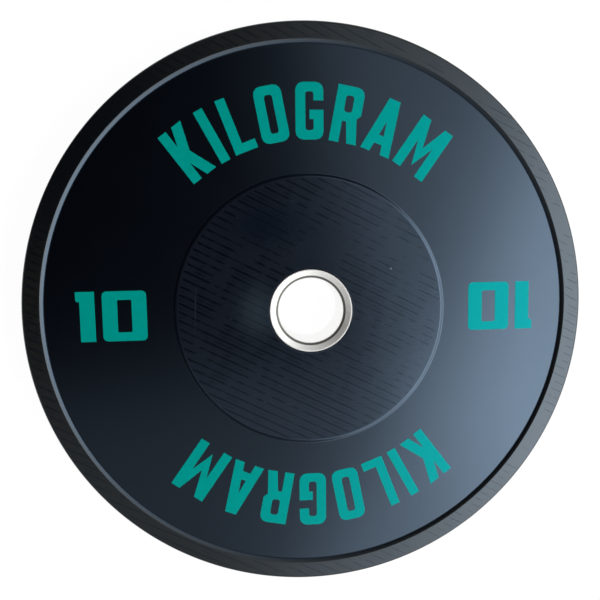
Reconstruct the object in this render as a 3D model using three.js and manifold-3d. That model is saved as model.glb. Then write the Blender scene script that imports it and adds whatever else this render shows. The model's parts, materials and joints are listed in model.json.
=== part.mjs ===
// Rubber bumper plate of 10 kg with a steel hub, lying flat on its lower rim face.
// The axis of the bore is +Z, and the origin is on that axis in the plane of the lower rim face.
// Both faces of the plate are alike. All lengths are in millimetres.
import * as THREE from 'three';
import { mergeVertices } from 'three/addons/utils/BufferGeometryUtils.js';
import Module from 'manifold-3d';

const wasm = await Module();
wasm.setup();

// Whole plate
const plateDiameter = 450;
const rimThickness = 50;

// Rim and recess of the rubber body
const rimCornerRadius = 2;
const rimFaceWidth = 13.7;
const recessDepth = 1.4;
const recessWallRun = 3;
const recessLipRadius = 1;
const recessRootRadius = 3;

// Raised hub disc of the rubber body
const hubDiscDiameter = 213;
const hubDiscRise = 1.1;
const hubDiscEdgeRun = 3;
const hubDiscLipRadius = 2;
const hubDiscRootRadius = 2;
const hubMouthChamfer = 1;

// Steel sleeve that lines the bore
const boreDiameter = 52;
const sleeveDiameter = 66.6;
const sleeveSetback = 0.4;
const sleeveLipWidth = 0.9;
const leadInDepth = 3.7;
const leadInNoseRadius = 2.5;
const shoulderDiameter = 76;
const shoulderThickness = 6;

// Steel flange that anchors the sleeve inside the rubber; the share is of its width outside the shoulder
const flangeDiameter = 132;
const flangeThickness = 5;
const flangeHoleShare = 0.57;
const flangeHoleCount = 8;
const pillarRootDepth = 3;

// Room left between steel and rubber, and between the flange and the sleeve
const embedClearance = 0.3;
const flangeFitClearance = 0.3;

// Coloured print on the recessed faces; the share places its middle between the hub disc and the rim
const printThickness = 0.4;
const printRowShare = 0.481;
const numeralHeight = 39.5;
const zeroWidth = 34.2;
const numeralSideStroke = 11.6;
const numeralCapStroke = 7;
const numeralCornerRadius = 3.5;
const counterCornerRadius = 0.8;
const oneFlagWidth = 2.9;
const oneFlagHeight = 8;
const oneFlagCut = 1.2;
const numeralGap = 5.6;

const letterHeight = 44;
const letterWidth = 22;
const letterStroke = 7.8;
const letterCapStroke = 7.2;
const letterCornerRadius = 6;
const letterInnerRadius = 2;
const letterGap = 8;

// Widths of the letters that are narrower or wider than the others, as shares of the letter width
const lWidthShare = 0.84;
const aWidthShare = 1.12;
const mWidthShare = 1.34;

// Points and heights inside the letters, as shares of each letter's own width and height
const kArmShares = { crotchHeight: 0.33, endWidth: 0.4, kneeWidth: 0.62 };
const gShares = { barHeight: 0.52, barWidth: 0.5, mouthHeight: 0.68 };
const rShares = { waistHeight: 0.38, legWidth: 0.5, notchWidth: 0.86, bowlHeight: 0.52 };
const aShares = { topWidth: 0.38, barBottom: 0.17, barTop: 0.33 };
const mShares = { innerHeight: 0.58, pointHeight: 0.14, notchHeight: 0.5 };

// Facets of the round surfaces
const plateSegments = 96;
const sleeveSegments = 48;
const holeSegments = 16;
const smallCornerSteps = 2;
const largeCornerSteps = 5;
const printCornerSteps = 3;

// Welding distance for vertices that meet, as a share of the plate diameter
const weldShare = 1e-7;

// Sizes worked out from those above
const plateRadius = plateDiameter / 2;
const midHeight = rimThickness / 2;
const recessRadius = plateRadius - rimFaceWidth - recessWallRun;
const hubDiscRadius = hubDiscDiameter / 2;
const hubFootRadius = hubDiscRadius + hubDiscEdgeRun;
const recessHeight = rimThickness - recessDepth;
const hubHeight = recessHeight + hubDiscRise;
const boreRadius = boreDiameter / 2;
const sleeveRadius = sleeveDiameter / 2;
const sleeveHeight = hubHeight - sleeveSetback;
const mouthRadius = sleeveRadius + embedClearance;
const shoulderRadius = shoulderDiameter / 2;
const flangeRadius = flangeDiameter / 2;
const flangeTop = midHeight + flangeThickness / 2;
const flangeBottom = midHeight - flangeThickness / 2;
const shoulderTop = flangeTop + shoulderThickness;
const printRowRadius = THREE.MathUtils.lerp(hubFootRadius, recessRadius, printRowShare);
const flangeHoleRowRadius = (shoulderRadius + flangeRadius) / 2;
const flangeHoleRadius = flangeHoleShare * (flangeRadius - shoulderRadius) / 2;

// Materials
function rubberMaterial() {
  return new THREE.MeshStandardMaterial({ color: 0x16181c, roughness: 0.55, metalness: 0 });
}

function stainlessMaterial() {
  return new THREE.MeshStandardMaterial({ color: 0xc9c6c0, roughness: 0.28, metalness: 1 });
}

function mildSteelMaterial() {
  return new THREE.MeshStandardMaterial({ color: 0x6d6f72, roughness: 0.6, metalness: 1 });
}

function printMaterial() {
  return new THREE.MeshStandardMaterial({ color: 0x009a88, roughness: 0.5, metalness: 0 });
}

// Points of an arc that rounds one corner of a section, or the corner itself where its radius is zero
function cornerPoints(before, corner, after, radius, steps) {
  const here = new THREE.Vector2(corner[0], corner[1]);
  if (radius === 0) {
    return [here];
  }
  const back = new THREE.Vector2(before[0], before[1]).sub(here).normalize();
  const ahead = new THREE.Vector2(after[0], after[1]).sub(here).normalize();
  const halfAngle = Math.acos(THREE.MathUtils.clamp(back.dot(ahead), -1, 1)) / 2;
  const start = here.clone().addScaledVector(back, radius / Math.tan(halfAngle));
  const end = here.clone().addScaledVector(ahead, radius / Math.tan(halfAngle));
  const inward = back.clone().add(ahead).normalize();
  const centre = here.clone().addScaledVector(inward, radius / Math.sin(halfAngle));
  const from = start.clone().sub(centre).angle();
  const turn = end.clone().sub(centre).angle() - from;
  const sweep = THREE.MathUtils.euclideanModulo(turn + Math.PI, 2 * Math.PI) - Math.PI;
  const points = [];
  for (let step = 0; step <= steps; step += 1) {
    const angle = from + sweep * step / steps;
    points.push(new THREE.Vector2(Math.cos(angle), Math.sin(angle)).multiplyScalar(radius).add(centre));
  }
  return points;
}

// A closed outline whose corners are [across, up, radius, steps], the last two left out at a sharp corner
function roundedOutline(corners) {
  const count = corners.length;
  return corners.flatMap((corner, index) => {
    const before = corners[(index + count - 1) % count];
    const after = corners[(index + 1) % count];
    return cornerPoints(before, corner, after, corner[2] ?? 0, corner[3] ?? 1);
  });
}

// A ring turned about +Z from a closed section that is listed anticlockwise
function turnedRing(corners, segments) {
  const outline = roundedOutline(corners);
  outline.push(outline[0].clone());
  const geometry = new THREE.LatheGeometry(outline, segments);
  geometry.rotateX(Math.PI / 2);
  return geometry;
}

// Solids for joining, and the way back to a geometry
function toSolid(geometry) {
  const bare = geometry.clone();
  bare.deleteAttribute('normal');
  bare.deleteAttribute('uv');
  const merged = mergeVertices(bare, weldShare * plateDiameter);
  const mesh = new wasm.Mesh({
    numProp: 3,
    vertProperties: new Float32Array(merged.attributes.position.array),
    triVerts: new Uint32Array(merged.index.array),
  });
  return new wasm.Manifold(mesh);
}

function toGeometry(solid) {
  const mesh = solid.getMesh();
  const geometry = new THREE.BufferGeometry();
  geometry.setAttribute('position', new THREE.BufferAttribute(mesh.vertProperties, mesh.numProp));
  geometry.setIndex(new THREE.BufferAttribute(mesh.triVerts, 1));
  geometry.computeVertexNormals();
  return geometry;
}

function namedMesh(name, geometry, material) {
  const mesh = new THREE.Mesh(geometry, material);
  mesh.name = name;
  return mesh;
}

// Angles of the flange holes, and of the rubber pillars that fill them
function flangeHoleAngles() {
  return Array.from({ length: flangeHoleCount }, (_, index) => 2 * Math.PI * index / flangeHoleCount);
}

// Section of one face of the rubber body, from the bore mouth out to the rim corner
function rubberFaceSection() {
  return [
    [mouthRadius, hubHeight - hubMouthChamfer],
    [mouthRadius + hubMouthChamfer, hubHeight],
    [hubDiscRadius, hubHeight, hubDiscLipRadius, smallCornerSteps],
    [hubFootRadius, recessHeight, hubDiscRootRadius, smallCornerSteps],
    [recessRadius, recessHeight, recessRootRadius, smallCornerSteps],
    [recessRadius + recessWallRun, rimThickness, recessLipRadius, smallCornerSteps],
    [plateRadius, rimThickness, rimCornerRadius, largeCornerSteps],
  ];
}

// Moulded rubber body, with a cavity for the sleeve's shoulder and the flange
function rubberBody() {
  const upperFace = rubberFaceSection();
  const lowerFace = upperFace.map(([across, up, ...rounding]) => [across, rimThickness - up, ...rounding]);
  const cavityWall = [
    [mouthRadius, flangeBottom - embedClearance],
    [flangeRadius + embedClearance, flangeBottom - embedClearance],
    [flangeRadius + embedClearance, flangeTop + embedClearance],
    [shoulderRadius + embedClearance, flangeTop + embedClearance],
    [shoulderRadius + embedClearance, shoulderTop + embedClearance],
    [mouthRadius, shoulderTop + embedClearance],
  ];
  const section = [...lowerFace, ...upperFace.reverse(), ...cavityWall.reverse()];
  let solid = toSolid(turnedRing(section, plateSegments));
  for (const angle of flangeHoleAngles()) {
    solid = solid.add(rubberPillar(angle));
  }
  return toGeometry(solid);
}

// Rubber pillar that runs through one flange hole and is rooted in the rubber above and below it
function rubberPillar(angle) {
  const radius = flangeHoleRadius - embedClearance;
  const length = flangeThickness + 2 * (embedClearance + pillarRootDepth);
  const geometry = new THREE.CylinderGeometry(radius, radius, length, holeSegments);
  geometry.rotateX(Math.PI / 2);
  geometry.translate(flangeHoleRowRadius, 0, midHeight);
  geometry.rotateZ(angle);
  return toSolid(geometry);
}

// Stainless sleeve with a lead-in at each end and one shoulder for the flange
function hubSleeve() {
  const leadInRadius = sleeveRadius - sleeveLipWidth;
  const sleeveFoot = rimThickness - sleeveHeight;
  const section = [
    [boreRadius, sleeveFoot + leadInDepth, leadInNoseRadius, largeCornerSteps],
    [leadInRadius, sleeveFoot],
    [sleeveRadius, sleeveFoot],
    [sleeveRadius, flangeTop],
    [shoulderRadius, flangeTop],
    [shoulderRadius, shoulderTop],
    [sleeveRadius, shoulderTop],
    [sleeveRadius, sleeveHeight],
    [leadInRadius, sleeveHeight],
    [boreRadius, sleeveHeight - leadInDepth, leadInNoseRadius, largeCornerSteps],
  ];
  return turnedRing(section, sleeveSegments);
}

// Points of a circle, listed anticlockwise from one that lies at the given angle
function circlePoints(centre, radius, segments, firstAngle) {
  return Array.from({ length: segments }, (_, index) => {
    const angle = firstAngle + 2 * Math.PI * index / segments;
    return new THREE.Vector2(Math.cos(angle), Math.sin(angle)).multiplyScalar(radius).add(centre);
  });
}

function circleHole(centre, radius, segments, firstAngle) {
  return new THREE.Path(circlePoints(centre, radius, segments, firstAngle).reverse());
}

// Flat steel flange with a ring of holes, which butts against the sleeve's shoulder
function anchorFlange() {
  const axis = new THREE.Vector2(0, 0);
  const outline = new THREE.Shape(circlePoints(axis, flangeRadius, sleeveSegments, 0));
  outline.holes.push(circleHole(axis, sleeveRadius + flangeFitClearance, sleeveSegments, 0));
  for (const angle of flangeHoleAngles()) {
    const centre = new THREE.Vector2(flangeHoleRowRadius, 0).rotateAround(axis, angle);
    outline.holes.push(circleHole(centre, flangeHoleRadius, holeSegments, angle));
  }
  const geometry = new THREE.ExtrudeGeometry(outline, { depth: flangeThickness, bevelEnabled: false });
  geometry.translate(0, 0, flangeBottom);
  return geometry;
}

// Shapes of the printed characters, each with its lower left corner at zero
function box(left, bottom, right, top, radius) {
  return [
    [left, bottom, radius, printCornerSteps],
    [right, bottom, radius, printCornerSteps],
    [right, top, radius, printCornerSteps],
    [left, top, radius, printCornerSteps],
  ];
}

function shapeFrom(corners, holes = []) {
  const shape = new THREE.Shape(roundedOutline(corners));
  for (const hole of holes) {
    shape.holes.push(new THREE.Path(roundedOutline(hole).reverse()));
  }
  return shape;
}

function zeroShape() {
  const counter = box(
    numeralSideStroke,
    numeralCapStroke,
    zeroWidth - numeralSideStroke,
    numeralHeight - numeralCapStroke,
    counterCornerRadius,
  );
  return shapeFrom(box(0, 0, zeroWidth, numeralHeight, numeralCornerRadius), [counter]);
}

function oneShape() {
  const right = oneFlagWidth + numeralSideStroke;
  return shapeFrom([
    [oneFlagWidth, 0],
    [right, 0],
    [right, numeralHeight],
    [0, numeralHeight],
    [0, numeralHeight - oneFlagHeight + oneFlagCut],
    [oneFlagCut, numeralHeight - oneFlagHeight],
    [oneFlagWidth, numeralHeight - oneFlagHeight],
  ]);
}

function kShape(width) {
  const crotch = kArmShares.crotchHeight * letterHeight;
  const armEnd = kArmShares.endWidth * width;
  return shapeFrom([
    [0, 0],
    [letterStroke, 0],
    [letterStroke, crotch],
    [width - armEnd, 0],
    [width, 0],
    [kArmShares.kneeWidth * width, letterHeight / 2],
    [width, letterHeight],
    [width - armEnd, letterHeight],
    [letterStroke, letterHeight - crotch],
    [letterStroke, letterHeight],
    [0, letterHeight],
  ]);
}

function iShape(width) {
  return shapeFrom(box(0, 0, width, letterHeight, 0));
}

function lShape(width) {
  return shapeFrom([
    [0, 0],
    [width, 0],
    [width, letterCapStroke],
    [letterStroke, letterCapStroke],
    [letterStroke, letterHeight],
    [0, letterHeight],
  ]);
}

function oShape(width) {
  const counter = box(
    letterStroke,
    letterCapStroke,
    width - letterStroke,
    letterHeight - letterCapStroke,
    letterInnerRadius,
  );
  return shapeFrom(box(0, 0, width, letterHeight, letterCornerRadius), [counter]);
}

function gShape(width) {
  const barTop = gShares.barHeight * letterHeight;
  const barLeft = gShares.barWidth * width;
  const mouthTop = gShares.mouthHeight * letterHeight;
  const inner = width - letterStroke;
  return shapeFrom([
    [0, 0, letterCornerRadius, printCornerSteps],
    [width, 0, letterCornerRadius, printCornerSteps],
    [width, barTop],
    [barLeft, barTop],
    [barLeft, barTop - letterCapStroke],
    [inner, barTop - letterCapStroke],
    [inner, letterCapStroke, letterInnerRadius, printCornerSteps],
    [letterStroke, letterCapStroke, letterInnerRadius, printCornerSteps],
    [letterStroke, letterHeight - letterCapStroke, letterInnerRadius, printCornerSteps],
    [inner, letterHeight - letterCapStroke, letterInnerRadius, printCornerSteps],
    [inner, mouthTop],
    [width, mouthTop],
    [width, letterHeight, letterCornerRadius, printCornerSteps],
    [0, letterHeight, letterCornerRadius, printCornerSteps],
  ]);
}

function rShape(width) {
  const waist = rShares.waistHeight * letterHeight;
  const bowlFoot = rShares.bowlHeight * letterHeight;
  const counter = box(
    letterStroke,
    waist + letterCapStroke,
    width - letterStroke,
    letterHeight - letterCapStroke,
    letterInnerRadius,
  );
  return shapeFrom([
    [0, 0],
    [letterStroke, 0],
    [letterStroke, waist],
    [rShares.legWidth * width, waist],
    [width - letterStroke, 0],
    [width, 0],
    [rShares.notchWidth * width, (waist + bowlFoot) / 2],
    [width, bowlFoot],
    [width, letterHeight, letterCornerRadius, printCornerSteps],
    [0, letterHeight],
  ], [counter]);
}

function aShape(width) {
  const lean = (width - aShares.topWidth * width) / 2;
  const barBottom = aShares.barBottom * letterHeight;
  const barTop = aShares.barTop * letterHeight;
  const innerAt = (height) => letterStroke + lean * height / letterHeight;
  const apexHeight = (width / 2 - letterStroke) * letterHeight / lean;
  const counter = [
    [innerAt(barTop), barTop],
    [width - innerAt(barTop), barTop],
    [width / 2, apexHeight],
  ];
  return shapeFrom([
    [0, 0],
    [letterStroke, 0],
    [innerAt(barBottom), barBottom],
    [width - innerAt(barBottom), barBottom],
    [width - letterStroke, 0],
    [width, 0],
    [width - lean, letterHeight],
    [lean, letterHeight],
  ], [counter]);
}

function mShape(width) {
  const inner = mShares.innerHeight * letterHeight;
  return shapeFrom([
    [0, 0],
    [letterStroke, 0],
    [letterStroke, inner],
    [width / 2, mShares.pointHeight * letterHeight],
    [width - letterStroke, inner],
    [width - letterStroke, 0],
    [width, 0],
    [width, letterHeight],
    [width - letterStroke, letterHeight],
    [width / 2, mShares.notchHeight * letterHeight],
    [letterStroke, letterHeight],
    [0, letterHeight],
  ]);
}

// The generic unit word that each arc carries, letter by letter
const unitWord = [
  { letter: 'k', width: letterWidth, shape: kShape },
  { letter: 'i', width: letterStroke, shape: iShape },
  { letter: 'l', width: lWidthShare * letterWidth, shape: lShape },
  { letter: 'o', width: letterWidth, shape: oShape },
  { letter: 'g', width: letterWidth, shape: gShape },
  { letter: 'r', width: letterWidth, shape: rShape },
  { letter: 'a', width: aWidthShare * letterWidth, shape: aShape },
  { letter: 'm', width: mWidthShare * letterWidth, shape: mShape },
];

// One printed character, centred on its own width and height, with its back on the recessed face
function printed(name, shape, width, height) {
  const geometry = new THREE.ExtrudeGeometry(shape, { depth: printThickness, bevelEnabled: false });
  geometry.translate(-width / 2, -height / 2, 0);
  return namedMesh(name, geometry, printMaterial());
}

// The number 10, reading along +X, with the middle of its width at zero
function weightNumber(label) {
  const group = new THREE.Group();
  const oneWidth = oneFlagWidth + numeralSideStroke;
  const totalWidth = oneWidth + numeralGap + zeroWidth;
  const one = printed(`numeral_one_${label}`, oneShape(), oneWidth, numeralHeight);
  one.position.x = (oneWidth - totalWidth) / 2;
  const zero = printed(`numeral_zero_${label}`, zeroShape(), zeroWidth, numeralHeight);
  zero.position.x = (totalWidth - zeroWidth) / 2;
  group.add(one, zero);
  return group;
}

// The unit word, laid clockwise along an arc about the bore and centred on +Y
function unitArc(label) {
  const group = new THREE.Group();
  const gaps = letterGap * (unitWord.length - 1);
  const totalWidth = unitWord.reduce((sum, entry) => sum + entry.width, gaps);
  let left = -totalWidth / 2;
  for (const { letter, width, shape } of unitWord) {
    const turn = (left + width / 2) / printRowRadius;
    const mesh = printed(`letter_${letter}_${label}`, shape(width), width, letterHeight);
    mesh.position.set(printRowRadius * Math.sin(turn), printRowRadius * Math.cos(turn), 0);
    mesh.rotation.z = -turn;
    group.add(mesh);
    left += width + letterGap;
  }
  return group;
}

// All the print of one face, each half of it repeated with half a turn
function facePrint(face) {
  const group = new THREE.Group();
  for (const [index, side] of ['a', 'b'].entries()) {
    const half = new THREE.Group();
    const number = weightNumber(`${face}_${side}`);
    number.position.x = -printRowRadius;
    half.add(number, unitArc(`${face}_${side}`));
    half.rotation.z = index * Math.PI;
    group.add(half);
  }
  group.position.z = recessHeight - midHeight;
  return group;
}

// The plate: rubber, steel, and the print of the front and of the turned-over back
const plate = new THREE.Group();
plate.add(namedMesh('rubber_body', rubberBody(), rubberMaterial()));
plate.add(namedMesh('hub_sleeve', hubSleeve(), stainlessMaterial()));
plate.add(namedMesh('anchor_flange', anchorFlange(), mildSteelMaterial()));
for (const [index, face] of ['front', 'back'].entries()) {
  const side = new THREE.Group();
  side.add(facePrint(face));
  side.rotation.x = index * Math.PI;
  side.position.z = midHeight;
  plate.add(side);
}

export default plate;
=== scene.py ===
# %% [markdown]
# # A rubber bumper plate for a barbell
# The object is a disc of moulded rubber, 450 mm across, with a steel sleeve through its middle.
# It lies flat on the floor and is seen almost straight from above.
# This lesson loads the measured solids first, then sets up the camera, the lights and the floor,
# and then dresses the solids one piece at a time.

# %% Load the measured solids
import json
import math

import bmesh
import bpy
from mathutils import Matrix, Vector, noise

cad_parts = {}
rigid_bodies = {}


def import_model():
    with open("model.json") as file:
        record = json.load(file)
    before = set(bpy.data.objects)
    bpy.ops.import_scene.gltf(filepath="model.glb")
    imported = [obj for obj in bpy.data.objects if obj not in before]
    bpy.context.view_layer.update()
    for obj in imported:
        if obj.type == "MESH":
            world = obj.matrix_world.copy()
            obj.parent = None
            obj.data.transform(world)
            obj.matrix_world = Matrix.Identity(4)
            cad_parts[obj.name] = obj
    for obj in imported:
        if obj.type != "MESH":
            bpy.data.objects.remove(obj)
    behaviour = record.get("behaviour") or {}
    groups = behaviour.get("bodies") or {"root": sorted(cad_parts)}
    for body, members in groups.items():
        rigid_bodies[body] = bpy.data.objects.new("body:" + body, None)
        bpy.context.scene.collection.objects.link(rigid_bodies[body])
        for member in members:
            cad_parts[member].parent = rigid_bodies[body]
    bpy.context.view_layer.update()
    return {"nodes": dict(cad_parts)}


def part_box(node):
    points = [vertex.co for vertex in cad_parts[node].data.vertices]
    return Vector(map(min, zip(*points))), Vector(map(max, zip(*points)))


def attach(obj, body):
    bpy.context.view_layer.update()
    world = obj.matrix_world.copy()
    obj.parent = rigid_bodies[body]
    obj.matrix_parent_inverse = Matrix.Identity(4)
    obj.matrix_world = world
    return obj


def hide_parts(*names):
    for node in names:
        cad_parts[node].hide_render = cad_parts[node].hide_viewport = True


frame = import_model()

# %% [markdown]
# Blender works in metres, and the plate's sizes are easier to read in millimetres.
# One small function turns one into the other, so that each size below keeps its workshop number.
# The finer circle of this model stays a hair inside the measured solid.

# %% Sizes of the plate
scene = bpy.context.scene


def mm(length):
    """A length in millimetres, given back in metres."""
    return length / 1000


INSIDE_SOLID = mm(0.005)
PLATE_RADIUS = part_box("rubber_body")[1].x - INSIDE_SOLID
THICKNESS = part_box("rubber_body")[1].z
RIM_FACE_WIDTH = mm(13.7)
RECESS_DEPTH = mm(1.4)
RECESS_WALL_RUN = mm(3)
HUB_DISC_RADIUS = mm(106.7)
HUB_DISC_RISE = mm(0.72)
HUB_EDGE_RUN = mm(2.2)
LIP_RADIUS = PLATE_RADIUS - RIM_FACE_WIDTH
RECESS_RADIUS = LIP_RADIUS - RECESS_WALL_RUN
RECESS_HEIGHT = THICKNESS - RECESS_DEPTH
HUB_HEIGHT = RECESS_HEIGHT + HUB_DISC_RISE
HUB_FOOT_RADIUS = HUB_DISC_RADIUS + HUB_EDGE_RUN
print(f"plate radius {PLATE_RADIUS:.4f} m, thickness {THICKNESS:.4f} m")

# %% [markdown]
# ## Camera
# The photograph was taken from a little over half a metre, almost straight above the plate.
# A camera is placed by where it stands, what it looks at and which way is up in the picture.
# Those three make its rotation: the way back to the camera, the picture's right and its up.

# %% Set up the camera
CAMERA_PLACE = Vector((mm(-55.5), mm(61.6), mm(559.3)))
CAMERA_AIM = Vector((mm(-9), mm(9.1), mm(50)))
PICTURE_TURN = math.radians(1)
LENS = 38.58
SENSOR_WIDTH = 36


def put_in_scene(name, data):
    """A new object with that data, linked to the scene."""
    made = bpy.data.objects.new(name, data)
    scene.collection.objects.link(made)
    return made


camera_data = bpy.data.cameras.new("photo_camera")
camera_data.lens = LENS
camera_data.sensor_width = SENSOR_WIDTH
camera = put_in_scene("photo_camera", camera_data)
backward = (CAMERA_PLACE - CAMERA_AIM).normalized()
picture_up = Vector((math.sin(PICTURE_TURN), math.cos(PICTURE_TURN), 0))
rightward = picture_up.cross(backward).normalized()
upward = backward.cross(rightward)
turn = Matrix((rightward, upward, backward)).transposed().to_4x4()
camera.matrix_world = Matrix.Translation(CAMERA_PLACE) @ turn
scene.camera = camera
scene.view_settings.view_transform = "Standard"
print("camera stands", round((CAMERA_PLACE - CAMERA_AIM).length, 4), "m from what it looks at")

# %% [markdown]
# ## Light
# Black rubber shows little colour of its own. What the eye sees is the soft reflection of the lights,
# strong at the right of the plate and fading to black at the upper left.
# Two wide soft panels at the right give nearly all of it.
# A weak one hangs high at the upper right, and the weakest leans in from below the picture.
# The rest of the ceiling is dark, so that the far side of the rubber stays black.

# %% Put up the soft panels
LIGHT_CENTRE = Vector((0, 0, THICKNESS))
PANEL_DISTANCE = 2.5
WORLD_LEVEL = 0.003
# Each panel has its name, azimuth and zenith angle in degrees, width, height and power.
PANELS = [
    ("right_panel", -28.7, 45.9, 3.42, 2.16, 59.7),
    ("middle_panel", -7, 38.9, 2.82, 1.14, 33.6),
    ("upper_right_panel", 12.1, 20.6, 2.41, 0.79, 7.2),
    ("lower_panel", -86, 26.4, 2.7, 1.12, 4.6),
]


def soft_panel(name, azimuth, zenith, width, height, power):
    """A rectangular area light that faces the plate's upper face."""
    data = bpy.data.lights.new(name, "AREA")
    data.shape = "RECTANGLE"
    data.size = width
    data.size_y = height
    data.energy = power
    panel = put_in_scene(name, data)
    around, lean = math.radians(azimuth), math.radians(zenith)
    direction = Vector((
        math.sin(lean) * math.cos(around), math.sin(lean) * math.sin(around), math.cos(lean),
    ))
    panel.location = LIGHT_CENTRE + direction * PANEL_DISTANCE
    panel.rotation_mode = "QUATERNION"
    panel.rotation_quaternion = direction.to_track_quat("Z", "Y")
    panel.visible_camera = False
    print(name, "at", tuple(round(value, 3) for value in panel.location), "power", power)


def grey(level):
    """A neutral tone of that level."""
    return (level, level, level, 1)


for panel_values in PANELS:
    soft_panel(*panel_values)

world = bpy.data.worlds.new("dim_studio")
world.use_nodes = True
world.node_tree.nodes["Background"].inputs["Color"].default_value = grey(WORLD_LEVEL)
scene.world = world

# %% [markdown]
# ## Nodes without clicking
# Every material below is a small tree of nodes. Most of these helpers add one node and give back
# its output.
# An input is named by its socket, and its value is either a number or another node's output.
# A Mix node keeps sockets for every kind of data, so its two colours and its result go by their places.

# %% Helpers that add nodes
MIX_FIRST, MIX_SECOND, MIX_RESULT = 6, 7, 2
NOISE_RANGE = (0.3, 0.7)


def fill_inputs(tree, node, inputs):
    """Links or sets each of those inputs."""
    for key, value in inputs.items():
        if isinstance(value, bpy.types.NodeSocket):
            tree.links.new(value, node.inputs[key])
        else:
            node.inputs[key].default_value = value


def add_node(tree, kind, inputs, **settings):
    """Adds a node of that kind, with its settings and inputs."""
    made = tree.nodes.new(kind)
    for name, value in settings.items():
        setattr(made, name, value)
    fill_inputs(tree, made, inputs)
    return made


def calculate(tree, operation, *values, clamp=False):
    """The output of a Math node."""
    return add_node(
        tree, "ShaderNodeMath", dict(enumerate(values)), operation=operation, use_clamp=clamp
    ).outputs[0]


def remap(tree, value, low, high, new_low, new_high, kind="LINEAR"):
    """The output of a Map Range node."""
    inputs = {"Value": value, "From Min": low, "From Max": high, "To Min": new_low, "To Max": new_high}
    return add_node(tree, "ShaderNodeMapRange", inputs, interpolation_type=kind).outputs["Result"]


def mix_tones(tree, factor, first, second):
    """The colour output of a Mix node: the first tone at factor 0, the second at 1."""
    return add_node(
        tree, "ShaderNodeMix", {"Factor": factor, MIX_FIRST: first, MIX_SECOND: second}, data_type="RGBA"
    ).outputs[MIX_RESULT]


def length_of(tree, vector):
    """The length of a vector."""
    return add_node(tree, "ShaderNodeVectorMath", {0: vector}, operation="LENGTH").outputs["Value"]


def noise_at(tree, place, scale, detail):
    """The value of a noise texture, which mostly lies in NOISE_RANGE."""
    inputs = {"Vector": place, "Scale": scale, "Detail": detail}
    return add_node(tree, "ShaderNodeTexNoise", inputs).outputs[0]


def object_place(tree):
    """The object's own coordinates."""
    return add_node(tree, "ShaderNodeTexCoord", {}).outputs["Object"]


def round_place(tree, place):
    """The place laid flat at height zero, its distance from the plate's axis, and its height."""
    split = add_node(tree, "ShaderNodeSeparateXYZ", {0: place})
    flat = add_node(tree, "ShaderNodeCombineXYZ", {0: split.outputs[0], 1: split.outputs[1]}).outputs[0]
    return flat, length_of(tree, flat), split.outputs[2]


def bumped_normal(tree, height, distance):
    """The normal output of a Bump node."""
    return add_node(
        tree, "ShaderNodeBump", {"Height": height, "Strength": 1.0, "Distance": distance}
    ).outputs[0]


def start_material(name):
    """A new material with an empty tree, its Principled shader and its output."""
    material = bpy.data.materials.new(name)
    material.use_nodes = True
    tree = material.node_tree
    tree.nodes.clear()
    shader = add_node(tree, "ShaderNodeBsdfPrincipled", {})
    add_node(tree, "ShaderNodeOutputMaterial", {"Surface": shader.outputs["BSDF"]})
    return material, tree, shader


# %% [markdown]
# ## Lines that are spun
# Nearly everything here is round. Each round mesh starts as a line of points, which is spun
# about the plate's axis and then written to a mesh.

# %% Helpers for spun lines
def spin_line(bm, steps, angle=math.tau):
    """Spins the bmesh's line about the plate's axis. A whole turn closes on itself."""
    bmesh.ops.spin(
        bm, geom=bm.verts[:] + bm.edges[:], cent=(0, 0, 0), axis=(0, 0, 1), angle=angle,
        steps=steps, use_merge=angle == math.tau,
    )


def smooth_outwards(bm):
    """Turns every face outwards and shades it smooth."""
    bmesh.ops.recalc_face_normals(bm, faces=bm.faces[:])
    for face in bm.faces:
        face.smooth = True


def write_mesh(bm, name):
    """A new mesh with what the bmesh holds."""
    mesh = bpy.data.meshes.new(name)
    bm.to_mesh(mesh)
    bm.free()
    return mesh


# %% [markdown]
# ## Floor and backdrop
# A photographer's white sweep is one sheet: flat under the object, and curving up into a wall.
# Here it is a profile line spun round the plate's axis.
# It looks white to the camera and in reflections because it glows there by itself.
# To all other light it is pale paint, so that the floor still takes the plate's faint shadow.

# %% Spin the sweep
SWEEP_RADIUS = 6.0
SWEEP_HEIGHT = 3.8
SWEEP_CURVE = 1.0
SWEEP_CURVE_STEPS = 12
SWEEP_STEPS = 96
SWEEP_HOLE = mm(1)
FLOOR_DROP = mm(0.3)

bm = bmesh.new()
profile = [bm.verts.new(place) for place in (
    (SWEEP_HOLE, 0, -FLOOR_DROP),
    (SWEEP_RADIUS, 0, -FLOOR_DROP),
    (SWEEP_RADIUS, 0, SWEEP_HEIGHT),
)]
for pair in zip(profile, profile[1:]):
    bm.edges.new(pair)
bmesh.ops.bevel(
    bm, geom=[profile[1]], offset=SWEEP_CURVE, segments=SWEEP_CURVE_STEPS, profile=0.5,
    affect="VERTICES", material=-1,
)
spin_line(bm, SWEEP_STEPS)
hole_rim = [
    edge for edge in bm.edges if edge.is_boundary and edge.verts[0].co.xy.length < 2 * SWEEP_HOLE
]
bmesh.ops.holes_fill(bm, edges=hole_rim)
smooth_outwards(bm)
sweep = put_in_scene("white_sweep", write_mesh(bm, "white_sweep"))
print("sweep faces:", len(sweep.data.polygons))

# %% Paint the sweep
SWEEP_GLOW = 0.97
SEEN_PAINT = 0.06
UNSEEN_PAINT = 0.8

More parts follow.
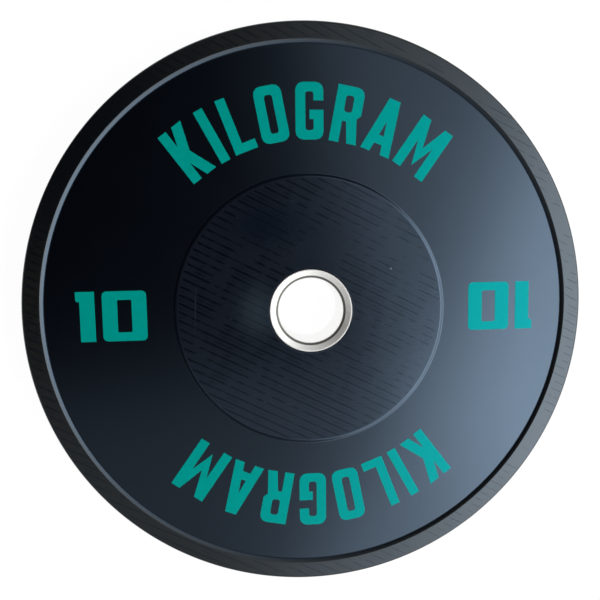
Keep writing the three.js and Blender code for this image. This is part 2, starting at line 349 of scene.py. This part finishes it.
sweep_material = bpy.data.materials.new("white_sweep_paper")
sweep_material.use_nodes = True
tree = sweep_material.node_tree
tree.nodes.clear()
rays = add_node(tree, "ShaderNodeLightPath", {}).outputs
camera_or_gloss = calculate(tree, "MAXIMUM", rays["Is Camera Ray"], rays["Is Glossy Ray"])
seen = calculate(tree, "MAXIMUM", camera_or_gloss, rays["Is Transmission Ray"])
glow = add_node(tree, "ShaderNodeEmission", {"Color": grey(1), "Strength": SWEEP_GLOW})
thin_paint = add_node(tree, "ShaderNodeBsdfDiffuse", {"Color": grey(SEEN_PAINT)})
seen_paper = add_node(tree, "ShaderNodeAddShader", {0: glow.outputs[0], 1: thin_paint.outputs[0]})
pale_paint = add_node(tree, "ShaderNodeBsdfDiffuse", {"Color": grey(UNSEEN_PAINT)})
paper = add_node(
    tree, "ShaderNodeMixShader", {0: seen, 1: pale_paint.outputs[0], 2: seen_paper.outputs[0]}
)
add_node(tree, "ShaderNodeOutputMaterial", {"Surface": paper.outputs[0]})
sweep.data.materials.append(sweep_material)
print("sweep paint:", len(tree.nodes), "nodes")

# %% [markdown]
# ## Dark cloth
# The mouth of the steel sleeve slopes inwards, so its lower right looks back to the upper left.
# In the photograph it is darker there than a white sweep would leave it.
# A photographer gets that with a dark cloth on a curved rail, which takes the sweep out of
# the reflections. It is a short upright line spun through part of a turn.
# The camera doesn't see it, so that the backdrop stays white from every side.

# %% Hang the dark cloth
CLOTH_RADIUS = 1.5
CLOTH_HEIGHT = 1.3
CLOTH_START = math.radians(125)
CLOTH_TURN = math.radians(45)
CLOTH_STEPS = 40
FELT_TONE = (0.16, 0.1, 0.08, 1)

bm = bmesh.new()
cloth_x = CLOTH_RADIUS * math.cos(CLOTH_START)
cloth_y = CLOTH_RADIUS * math.sin(CLOTH_START)
bm.edges.new([bm.verts.new((cloth_x, cloth_y, height)) for height in (0, CLOTH_HEIGHT)])
spin_line(bm, CLOTH_STEPS, CLOTH_TURN)
cloth = put_in_scene("dark_cloth", write_mesh(bm, "dark_cloth"))
cloth.visible_camera = False
cloth_material, tree, shader = start_material("dark_felt")
fill_inputs(tree, shader, {"Base Color": FELT_TONE, "Roughness": 1, "Specular IOR Level": 0})
cloth.data.materials.append(cloth_material)
print("dark cloth covers", round(math.degrees(CLOTH_TURN)), "degrees")

# %% [markdown]
# ## Rings by spinning
# The rubber and the sleeve are both round, so each starts as half of its cross-section.
# A closed line of points is spun once round the axis, and its sharp rings are then bevelled one by one.
# The bevel comes after the spin because each corner of the real mould has its own radius.

# %% Helpers for turned pieces
NEAR = mm(0.01)


def lies_between(vert, height, inner, outer):
    """Whether the point is at that height, and no nearer the axis than inner or farther than outer."""
    return abs(vert.co.z - height) < NEAR and inner - NEAR < vert.co.xy.length < outer + NEAR


def spin_section(points, steps):
    """A bmesh of the closed section, (radius, height) pairs, spun once about the plate's axis."""
    bm = bmesh.new()
    corners = [bm.verts.new((radius, 0, height)) for radius, height in points]
    for index, corner in enumerate(corners):
        bm.edges.new((corners[index - 1], corner))
    spin_line(bm, steps)
    smooth_outwards(bm)
    return bm


def round_edges(bm, edges, reach, segments):
    """Rounds those edges, as far as reach from each."""
    bmesh.ops.bevel(
        bm, geom=edges, offset=reach, offset_type="OFFSET", segments=segments, profile=0.5,
        affect="EDGES", material=-1,
    )


def round_ring(bm, radius, height, corner_radius, segments):
    """Rounds the sharp ring at that radius and height."""
    ring = [
        edge for edge in bm.edges
        if all(lies_between(vert, height, radius, radius) for vert in edge.verts)
    ]
    round_edges(bm, ring, corner_radius * math.tan(ring[0].calc_face_angle() / 2), segments)


def finished_piece(bm, name, slot_name, sharp_angle, *replaced):
    """Makes the bmesh a piece of the plate that stands for the named solids."""
    mesh = write_mesh(bm, name)
    mesh.set_sharp_from_angle(angle=sharp_angle)
    piece = put_in_scene(name, mesh)
    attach(piece, "root")
    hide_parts(*replaced)
    piece.modifiers.new("flat_faces_stay_flat", "WEIGHTED_NORMAL").keep_sharp = True
    return piece


# %% [markdown]
# ## Rubber body
# The whole black body comes out of one mould, so it is one piece here as well.
# Its section runs from the mouth of the bore over the hub disc, down to the recessed ring,
# up the step to the rim, round the tread and back along the lower face, which is the same.
# Inside is the room that the steel takes up: the sleeve's shoulder and the flange below it,
# each with 0.3 mm to spare, as in the measured solids.

# %% Spin the rubber body
PLATE_STEPS = 360
MOUTH_RADIUS = mm(33.6)
MOUTH_CHAMFER = mm(1)
SHOULDER_ROOM_RADIUS = mm(38.3)
SHOULDER_ROOM_TOP = mm(33.8)
FLANGE_ROOM_RADIUS = mm(66.3)
FLANGE_ROOM_TOP = mm(27.8)
FLANGE_ROOM_FOOT = mm(22.2)

steel_room = [
    (MOUTH_RADIUS, FLANGE_ROOM_FOOT),
    (FLANGE_ROOM_RADIUS, FLANGE_ROOM_FOOT),
    (FLANGE_ROOM_RADIUS, FLANGE_ROOM_TOP),
    (SHOULDER_ROOM_RADIUS, FLANGE_ROOM_TOP),
    (SHOULDER_ROOM_RADIUS, SHOULDER_ROOM_TOP),
]
upper_side = [
    (MOUTH_RADIUS, SHOULDER_ROOM_TOP),
    (MOUTH_RADIUS, HUB_HEIGHT - MOUTH_CHAMFER),
    (MOUTH_RADIUS + MOUTH_CHAMFER, HUB_HEIGHT),
    (HUB_DISC_RADIUS, HUB_HEIGHT),
    (HUB_FOOT_RADIUS, RECESS_HEIGHT),
    (RECESS_RADIUS, RECESS_HEIGHT),
    (LIP_RADIUS, THICKNESS),
    (PLATE_RADIUS, THICKNESS),
]
lower_side = [(radius, THICKNESS - height) for radius, height in reversed(upper_side[1:])]
rubber = spin_section(upper_side + lower_side + steel_room, PLATE_STEPS)
print("rubber body:", len(rubber.faces), "faces before its corners are rounded")

# %% Round the corners of the mould
# Each ring has its radius and height, then the radius of its rounded corner and the facets across it.
MOULD_CORNERS = [
    (HUB_DISC_RADIUS, HUB_HEIGHT, mm(3), 5),
    (HUB_FOOT_RADIUS, RECESS_HEIGHT, mm(3), 5),
    (RECESS_RADIUS, RECESS_HEIGHT, mm(3), 4),
    (LIP_RADIUS, THICKNESS, mm(1), 4),
    (PLATE_RADIUS, THICKNESS, mm(2), 8),
]
for radius, height, corner_radius, segments in MOULD_CORNERS:
    for level in (height, THICKNESS - height):
        round_ring(rubber, radius, level, corner_radius, segments)
print("rubber body:", len(rubber.faces), "faces with its corners rounded")

# %% [markdown]
# ## Grooves of the mould
# The hub disc and the rim carry faint broken grooves that run straight across them, whatever the
# ring's shape. Light dust greys both rings, but every groove is painted in the bare dark tone instead,
# as painted shade in the groove, and a fine V along every second groove swallows light, so that they
# look darker from every side.
# A flat ring is spun on its own and joined into two large faces. Planes then slice it along the middle
# and the edges of every groove. The V's middle line sinks where the groove is deep, and each point
# keeps the groove's strength as a number, "groove", which also sets how dark the rubber's colour paints
# the shade in the groove.
# The finished ring takes the place of the body's flat face.

# %% The pattern of the grooves
GROOVE_SLANT = math.radians(-27)
ALONG = Vector((math.cos(GROOVE_SLANT), math.sin(GROOVE_SLANT), 0))
ACROSS = Vector((-math.sin(GROOVE_SLANT), math.cos(GROOVE_SLANT), 0))
GROOVE_PITCH = mm(3.1)
GROOVE_SHIFT = 0.25
NOTCH_HALF_WIDTH = mm(0.12)
NOTCH_STEEPNESS = 3
DASH_STEP = mm(2)
RING_MARGIN = mm(0.3)
# Each pattern of breaks has its length, its change from one groove to the next, its seed and its weight.
BREAKS = [
    (mm(6), 0.2, 0.5, 1.4),
    (mm(4), 3.7, 7.5, 0.6),
    (mm(40), 1 / 12, 3.5, 0.8),
]
WEAK_GROOVE = 0.05
STRONG_GROOVE = 0.95
WEAR = 0.6
WEAR_START = mm(5)
WEAR_RUN = mm(60)
EDGE_REACH = mm(10)
END_FADE = mm(1.2)
CALM_PLACE = Vector((mm(16), mm(54), 0))
CALM_REACH = mm(34)
CALMING = 2


def groove_strength(place, index, to_inner, to_outer):
    """How deep a groove is there, and how dark the shade painted in it, from 0 to 1.

    Every second one is weak, all of them break off and start again, and on the right they are worn.
    """
    distance = place.dot(ALONG)
    broken = sum(
        weight * noise.noise(Vector((distance / length, index * change, seed)))
        for length, change, seed, weight in BREAKS
    )
    worn = min(1, max(0, (place.x - WEAR_START) / WEAR_RUN))
    edge = max(0, 1 - to_outer / EDGE_REACH) * (1 - worn)
    calm = max(0, 1 - (place - CALM_PLACE).length / CALM_REACH)
    steady = STRONG_GROOVE + edge - WEAR * worn if index % 2 else WEAK_GROOVE
    strength = steady + (1 + WEAR * worn) * broken - CALMING * calm
    fade = min(1, to_inner / END_FADE, to_outer / END_FADE)
    return min(1, max(0, strength)) * fade


print("grooves every", GROOVE_PITCH, "m at", round(math.degrees(GROOVE_SLANT)), "degrees")

# %% Helpers that slice a flat ring
FLAT_WITHIN = math.radians(0.5)


def middle_of(part):
    """The middle point of a vert, an edge or a face."""
    if isinstance(part, bmesh.types.BMVert):
        return part.co
    if isinstance(part, bmesh.types.BMEdge):
        return (part.verts[0].co + part.verts[1].co) / 2
    return part.calc_center_median()


def slice_along(bm, parts, direction, offsets):
    """Cuts the parts by planes square to the direction, at those distances from the axis.

    It starts with the middle plane and goes on with the parts on either side of it, which is quick.
    """
    if not offsets:
        return parts
    half = len(offsets) // 2
    offset = offsets[half]
    cut = bmesh.ops.bisect_plane(
        bm, geom=parts, dist=NEAR, plane_co=direction * offset, plane_no=direction
    )["geom"]
    distances = [middle_of(part).dot(direction) for part in cut]
    below = [part for part, distance in zip(cut, distances) if distance < offset + NEAR]
    above = [part for part, distance in zip(cut, distances) if distance > offset - NEAR]
    below = slice_along(bm, below, direction, offsets[:half])
    above = slice_along(bm, above, direction, offsets[half + 1:])
    return list(dict.fromkeys(below + above))


def flat_ring(inner, outer):
    """The bmesh of a flat ring at height zero, and the parts of its two large faces.

    A row of small faces stays along both edges of the ring, so that its circles keep their points.
    """
    bm = bmesh.new()
    radii = (inner, inner + RING_MARGIN, outer - RING_MARGIN, outer)
    row = [bm.verts.new((radius, 0, 0)) for radius in radii]
    for pair in zip(row, row[1:]):
        bm.edges.new(pair)
    spin_line(bm, PLATE_STEPS)
    halves = ([], [])
    for face in bm.faces:
        centre = face.calc_center_median()
        if inner + RING_MARGIN < centre.length < outer - RING_MARGIN:
            halves[centre.dot(ACROSS) > 0].append(face)
    large = [bmesh.ops.dissolve_faces(bm, faces=half)["region"][0] for half in halves]
    parts = list(dict.fromkeys(part for face in large for part in (face, *face.edges, *face.verts)))
    return bm, parts


def grooved_ring(inner, outer, depth):
    """The mesh of a flat ring at height zero, with grooves."""
    bm, parts = flat_ring(inner, outer)
    offsets = []
    grooves = int(outer / GROOVE_PITCH)
    for index in range(-grooves, grooves):
        middle = (index + GROOVE_SHIFT) * GROOVE_PITCH
        notch = (-NOTCH_HALF_WIDTH, 0, NOTCH_HALF_WIDTH) if index % 2 else (0,)
        offsets += [middle + beside for beside in notch] + [middle + GROOVE_PITCH / 2]
    parts = slice_along(bm, parts, ACROSS, offsets)
    steps = int(outer / DASH_STEP)
    slice_along(bm, parts, ALONG, [index * DASH_STEP for index in range(-steps, steps + 1)])

    groove = bm.verts.layers.float.new("groove")
    margin = RING_MARGIN + NEAR
    for vert in bm.verts:
        row = vert.co.dot(ACROSS) / GROOVE_PITCH - GROOVE_SHIFT
        index = round(row)
        beside = abs(row - index) * GROOVE_PITCH
        to_inner, to_outer = vert.co.xy.length - inner, outer - vert.co.xy.length
        if beside < NOTCH_HALF_WIDTH + NEAR and min(to_inner, to_outer) > margin:
            vert[groove] = groove_strength(vert.co, index, to_inner, to_outer)
            if beside < NEAR and index % 2:
                vert.co.z -= min(1, NOTCH_STEEPNESS * vert[groove]) * depth
    bmesh.ops.recalc_face_normals(bm, faces=bm.faces[:])
    for face in bm.faces:
        face.smooth = abs(face.normal.z) > math.cos(FLAT_WITHIN)
    return write_mesh(bm, "grooved_ring")


# %% Cut the grooves into hub disc and rim
HUB_GROOVE_DEPTH = mm(0.3)
RIM_GROOVE_DEPTH = mm(0.13)
TURNED_SHARP_ANGLE = math.radians(15)


def lay_ring(bm, height, inside, outside, depth):
    """Puts a grooved ring in place of the flat faces between those radii, on both sides of the plate."""
    radii = [
        vert.co.xy.length for vert in bm.verts if lies_between(vert, height, inside, outside)
    ]
    inner, outer = min(radii), max(radii)
    ring = grooved_ring(inner, outer, depth)
    for level, side in ((height, 1), (THICKNESS - height, -1)):
        flat = [
            face for face in bm.faces
            if all(lies_between(vert, level, inner, outer) for vert in face.verts)
        ]
        bmesh.ops.delete(bm, geom=flat, context="FACES")
        before = set(bm.verts)
        bm.from_mesh(ring)
        added = [vert for vert in bm.verts if vert not in before]
        place = Matrix.Translation((0, 0, level)) @ Matrix.Diagonal((1, side, side, 1))
        bmesh.ops.transform(bm, matrix=place, verts=added)
        bmesh.ops.remove_doubles(bm, verts=[vert for vert in bm.verts if vert.is_boundary], dist=NEAR)
    bpy.data.meshes.remove(ring)
    print(f"grooved ring from {inner:.4f} to {outer:.4f} m: {len(added)} points on each side")


rubber.verts.layers.float.new("groove")
lay_ring(rubber, HUB_HEIGHT, MOUTH_RADIUS, HUB_DISC_RADIUS, HUB_GROOVE_DEPTH)
lay_ring(rubber, THICKNESS, LIP_RADIUS, PLATE_RADIUS, RIM_GROOVE_DEPTH)
open_edges = sum(edge.is_boundary for edge in rubber.edges)
print("rubber body:", len(rubber.faces), "faces with its grooves,", open_edges, "open edges")
rubber_piece = finished_piece(
    rubber, "moulded_rubber", "black_rubber", TURNED_SHARP_ANGLE, "rubber_body"
)

# %% [markdown]
# ## Steel sleeve
# The sleeve is turned from stainless bar. It shows a narrow flat lip and a sloping lead-in
# that guides the bar into the bore. Its shoulder is buried in the rubber.

# %% Turn the sleeve
SLEEVE_STEPS = 256
BORE_RADIUS = mm(26)
SLEEVE_RADIUS = mm(33.3)
LEAD_IN_RADIUS = mm(32.4)
LEAD_IN_DEPTH = mm(3.7)
SHOULDER_RADIUS = mm(38)
SHOULDER_FOOT = mm(27.5)
SHOULDER_TOP = mm(33.5)
NOSE_CORNER, NOSE_SEGMENTS = mm(2.5), 6
LIP_CORNER, LIP_SEGMENTS = mm(0.2), 2
SLEEVE_LOW, SLEEVE_HIGH = (corner.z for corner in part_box("hub_sleeve"))
NOSE_LOW, NOSE_HIGH = SLEEVE_LOW + LEAD_IN_DEPTH, SLEEVE_HIGH - LEAD_IN_DEPTH

sleeve_section = [
    (BORE_RADIUS, NOSE_LOW),
    (LEAD_IN_RADIUS, SLEEVE_LOW),
    (SLEEVE_RADIUS, SLEEVE_LOW),
    (SLEEVE_RADIUS, SHOULDER_FOOT),
    (SHOULDER_RADIUS, SHOULDER_FOOT),
    (SHOULDER_RADIUS, SHOULDER_TOP),
    (SLEEVE_RADIUS, SHOULDER_TOP),
    (SLEEVE_RADIUS, SLEEVE_HIGH),
    (LEAD_IN_RADIUS, SLEEVE_HIGH),
    (BORE_RADIUS, NOSE_HIGH),
]
sleeve = spin_section(sleeve_section, SLEEVE_STEPS)
for level, nose_height in ((SLEEVE_LOW, NOSE_LOW), (SLEEVE_HIGH, NOSE_HIGH)):
    round_ring(sleeve, BORE_RADIUS, nose_height, NOSE_CORNER, NOSE_SEGMENTS)
    round_ring(sleeve, LEAD_IN_RADIUS, level, LIP_CORNER, LIP_SEGMENTS)
    round_ring(sleeve, SLEEVE_RADIUS, level, LIP_CORNER, LIP_SEGMENTS)
print("sleeve:", len(sleeve.faces), "faces")
sleeve_piece = finished_piece(
    sleeve, "turned_sleeve", "stainless_steel", TURNED_SHARP_ANGLE, "hub_sleeve"
)

# %% [markdown]
# ## Print
# The numbers and letters are ink on the recessed faces. The solids make them 0.4 mm thick,
# which is more than ink has, so each piece here is a thinner copy with a softened edge.
# A solid from CAD is a heap of loose triangles: the copy is merged and its flat faces joined first.

# %% Lay the ink on the recessed faces
CAD_INK_THICKNESS = mm(0.4)
INK_THICKNESS = mm(0.15)
INK_EDGE = mm(0.06)
INK_EDGE_SEGMENTS = 2
INK_SHARP_ANGLE = math.radians(50)
JOIN_ANGLE = math.radians(1)


def ink_copy(name):
    """A thin copy of one printed solid, on the face that carries it."""
    bm = bmesh.new()
    bm.from_mesh(frame["nodes"][name].data)
    bmesh.ops.remove_doubles(bm, verts=bm.verts[:], dist=NEAR)
    bmesh.ops.dissolve_limit(bm, angle_limit=JOIN_ANGLE, verts=bm.verts[:], edges=bm.edges[:])
    faces_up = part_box(name)[0].z > THICKNESS / 2
    base = RECESS_HEIGHT if faces_up else THICKNESS - RECESS_HEIGHT
    bmesh.ops.scale(
        bm, vec=(1, 1, INK_THICKNESS / CAD_INK_THICKNESS), verts=bm.verts[:],
        space=Matrix.Translation((0, 0, -base)),
    )
    outer = [
        edge for edge in bm.edges
        if all(abs(vert.co.z - base) > INK_THICKNESS / 2 for vert in edge.verts)
    ]
    round_edges(bm, outer, INK_EDGE, INK_EDGE_SEGMENTS)
    return finished_piece(bm, f"ink_{name}", "teal_print", INK_SHARP_ANGLE, name)


printed_names = sorted(name for name in frame["nodes"] if name.startswith(("numeral_", "letter_")))
ink_pieces = [ink_copy(name) for name in printed_names]
print("ink pieces:", len(ink_pieces))

# %% [markdown]
# ## Rubber finish
# Moulded rubber is nearly black, with a satin sheen. Its blue is painted into the tint of the sheen,
# standing for bluish light, and is a little less blue on the rim.
# The sheen is slightly uneven, because the mould's own surface prints through, and it is softer
# on the recessed ring and on the rim. Light dust greys the hub disc and lies thinner and warmer
# on the rim; the grooves take the bare dark tone instead, as painted shade. Handling leaves its marks on
# the upper face:
# a place wiped clean, a rubbed line and a pale fleck. Two more marks there are painted light: a pale
# glow left of the sleeve, and shade over the upper left, away from the lamps.
# Each mark is a soft ellipse that fades out towards its edge.

# %% Make the rubber
HUB_DUST = (0.0054, 0.0072, 0.0125, 1)
RIM_DUST = (0.0062, 0.0056, 0.0044, 1)
# Painted light: a pale glow on the hub disc left of the sleeve.
PALE_GLOW = (0.016, 0.024, 0.033, 1)
# The bare rubber's own tone, also used as painted shade in the grooves and over the upper left.
BARE_RUBBER_AND_SHADE = (0.0001, 0.0003, 0.0014, 1)
WIPED = (0.0015, 0.003, 0.008, 1)
RUBBED = (0.013, 0.017, 0.028, 1)
FLECK = (0.16, 0.18, 0.2, 1)
# Each mark has its place, its half width and half height, its turn in degrees and its tone.
MARKS = [
    # A painted glow of pale light left of the sleeve.
    (mm(-43), mm(1), mm(24), mm(34), 0, PALE_GLOW),
    (mm(-36), mm(70), mm(52), mm(30), 0, WIPED),
    # Painted shade over the upper left of the plate, the side away from the lamps.
    (mm(-165), mm(139), mm(180), mm(60), 50, BARE_RUBBER_AND_SHADE),
    (mm(-92), mm(3), mm(0.8), mm(28), -3, RUBBED),
    (mm(65.3), mm(32.7), mm(1.4), mm(1.3), 0, FLECK),
]
UPPER_SIDE_START = (mm(24), mm(26))
CLOUD_SCALE, CLOUD_DETAIL = 30, 4
GRAIN_SCALE, GRAIN_DETAIL = 1500, 3
GRAIN_HEIGHT = mm(0.004)
SHEEN_SPREAD = (0.195, 0.21)
ANNULUS_SOFTER = 0.045
RIM_SOFTER = 0.05
SHEEN_LEVEL = 0.715
# The sheen's blue is painted in: it stands for bluish light on the rubber, and it is less blue on the
# rim.
SHEEN_TINT = (0.515, 0.73, 1.0, 1)
RIM_SHEEN_TINT = (0.6, 0.735, 0.87, 1)

rubber_material, tree, shader = start_material("satin_black_rubber")
place = object_place(tree)
cloud = noise_at(tree, place, CLOUD_SCALE, CLOUD_DETAIL)
grain = noise_at(tree, place, GRAIN_SCALE, GRAIN_DETAIL)
flat_place, radius, height = round_place(tree, place)
rim = remap(tree, radius, RECESS_RADIUS, LIP_RADIUS, 0.0, 1.0, "SMOOTHSTEP")
annulus = remap(tree, radius, HUB_DISC_RADIUS, HUB_FOOT_RADIUS, 0.0, 1.0, "SMOOTHSTEP")
sheen_spread = remap(tree, cloud, *NOISE_RANGE, *SHEEN_SPREAD)
annulus_spread = calculate(tree, "MULTIPLY", annulus, ANNULUS_SOFTER)
rim_spread = calculate(tree, "MULTIPLY", rim, RIM_SOFTER)
face_spread = calculate(tree, "ADD", sheen_spread, annulus_spread)
groove = add_node(tree, "ShaderNodeAttribute", {}, attribute_name="groove").outputs["Fac"]
# Where a groove is, the dust gives way to the bare tone: painted shade in the groove.
dust_outside_groove_shade = calculate(tree, "SUBTRACT", 1.0, groove, clamp=True)
hub_dust_and_groove_shade = calculate(tree, "SUBTRACT", dust_outside_groove_shade, annulus, clamp=True)
rim_dust_and_groove_shade = calculate(tree, "MULTIPLY", dust_outside_groove_shade, rim)
dusty_hub_and_groove_shade = mix_tones(tree, hub_dust_and_groove_shade, BARE_RUBBER_AND_SHADE, HUB_DUST)
tone = mix_tones(tree, rim_dust_and_groove_shade, dusty_hub_and_groove_shade, RIM_DUST)
on_upper_side = remap(tree, height, *UPPER_SIDE_START, 0.0, 1.0)
for x, y, half_width, half_height, mark_turn, mark_tone in MARKS:
    spot = add_node(tree, "ShaderNodeMapping", {
        "Vector": flat_place, "Location": (x, y, 0), "Rotation": (0, 0, math.radians(mark_turn)),
        "Scale": (half_width, half_height, 1),
    }, vector_type="TEXTURE").outputs[0]
    reach = remap(tree, length_of(tree, spot), 0.0, 1.0, 1.0, 0.0, "SMOOTHSTEP")
    tone = mix_tones(tree, calculate(tree, "MULTIPLY", reach, on_upper_side), tone, mark_tone)
fill_inputs(tree, shader, {
    "Base Color": tone,
    "Roughness": calculate(tree, "ADD", face_spread, rim_spread),
    "Normal": bumped_normal(tree, grain, GRAIN_HEIGHT),
    "Specular IOR Level": SHEEN_LEVEL,
    "Specular Tint": mix_tones(tree, rim, SHEEN_TINT, RIM_SHEEN_TINT),
})
rubber_piece.data.materials.append(rubber_material)
print("rubber finish:", len(tree.nodes), "nodes and", len(MARKS), "marks")

# %% [markdown]
# ## Steel and ink finishes
# The sleeve comes off a lathe, so fine rings run round it and roughen it. Its flat lip is a little
# darker than the sloping lead-in, the rounded nose at the foot of the slope is painted darkest, as
# painted shade where the lead-in turns into the bore, and bars have polished the bore. The flange inside
# the rubber never shows: it is plain mill-finish steel.
# The ink is an even teal with a satin sheen, only very slightly cloudy.

# %% Make the turned steel
LIP_TONE = (0.54, 0.54, 0.53, 1)
LEAD_IN_TONE = (0.79, 0.79, 0.77, 1)
# Painted shade on the rounded nose at the foot of the lead-in.
NOSE_SHADE_TONE = (0.14, 0.135, 0.125, 1)
BORE_TONE = (0.95, 0.95, 0.94, 1)
LIP_START = (LEAD_IN_RADIUS - mm(0.1), LEAD_IN_RADIUS + mm(0.3))
NOSE_END = (mm(28.1), mm(28.6))
BORE_END = (mm(26.5), mm(26.7))
RING_SCALE, RING_DETAIL = 4000, 4
RING_HEIGHT = mm(0.01)
TURNED_SPREAD = (0.5, 0.62)
BORE_POLISH = 0.3

steel_material, tree, shader = start_material("turned_stainless")
_, radius, height = round_place(tree, object_place(tree))
rings = add_node(
    tree, "ShaderNodeTexNoise",
    {"W": calculate(tree, "ADD", radius, height), "Scale": RING_SCALE, "Detail": RING_DETAIL},
    noise_dimensions="1D",
).outputs[0]
bore = remap(tree, radius, *BORE_END, 1.0, 0.0)
lip = remap(tree, radius, *LIP_START, 0.0, 1.0)
# The nose band gets the painted shade tone.
nose = remap(tree, radius, *NOSE_END, 1.0, 0.0, "SMOOTHSTEP")
slope_tone = mix_tones(tree, nose, LEAD_IN_TONE, NOSE_SHADE_TONE)
slope_and_lip_tone = mix_tones(tree, lip, slope_tone, LIP_TONE)
turned_spread = remap(tree, rings, *NOISE_RANGE, *TURNED_SPREAD)
bore_polish = calculate(tree, "MULTIPLY", bore, BORE_POLISH)
fill_inputs(tree, shader, {
    "Base Color": mix_tones(tree, bore, slope_and_lip_tone, BORE_TONE),
    "Roughness": calculate(tree, "SUBTRACT", turned_spread, bore_polish),
    "Normal": bumped_normal(tree, rings, RING_HEIGHT),
    "Metallic": 1,
})
sleeve_piece.data.materials.append(steel_material)
print("turned steel:", len(tree.nodes), "nodes")

# %% Make the mild steel of the hidden flange
DARK_MILL_TONE = (0.1, 0.1, 0.105, 1)
BARE_MILL_TONE = (0.22, 0.21, 0.2, 1)
MILL_MARK_SCALE, MILL_MARK_DETAIL = 90, 6
MILL_SPREAD = (0.4, 0.6)

flange_material, tree, shader = start_material("mill_finish_steel")
mill_marks = noise_at(tree, object_place(tree), MILL_MARK_SCALE, MILL_MARK_DETAIL)
fill_inputs(tree, shader, {
    "Base Color": mix_tones(tree, mill_marks, DARK_MILL_TONE, BARE_MILL_TONE),
    "Roughness": remap(tree, mill_marks, *NOISE_RANGE, *MILL_SPREAD),
    "Metallic": 1,
})
flange = frame["nodes"]["anchor_flange"]
flange.data.materials.clear()
flange.data.materials.append(flange_material)
print("mill-finish steel:", len(tree.nodes), "nodes")

# %% Make the ink
THIN_INK_TONE = (0.0, 0.255, 0.207, 1)
FULL_INK_TONE = (0.0, 0.296, 0.248, 1)
INK_CLOUD_SCALE, INK_CLOUD_DETAIL = 200, 4
INK_SPREAD = (0.34, 0.42)
INK_SHEEN_LEVEL = 0.645
INK_SHEEN_TINT = (0.01, 0.62, 1.0, 1)

ink_material, tree, shader = start_material("teal_ink")
cloud = noise_at(tree, object_place(tree), INK_CLOUD_SCALE, INK_CLOUD_DETAIL)
fill_inputs(tree, shader, {
    "Base Color": mix_tones(tree, cloud, THIN_INK_TONE, FULL_INK_TONE),
    "Roughness": remap(tree, cloud, *NOISE_RANGE, *INK_SPREAD),
    "Specular IOR Level": INK_SHEEN_LEVEL,
    "Specular Tint": INK_SHEEN_TINT,
})
for piece in ink_pieces:
    piece.data.materials.append(ink_material)
print("ink:", len(tree.nodes), "nodes")
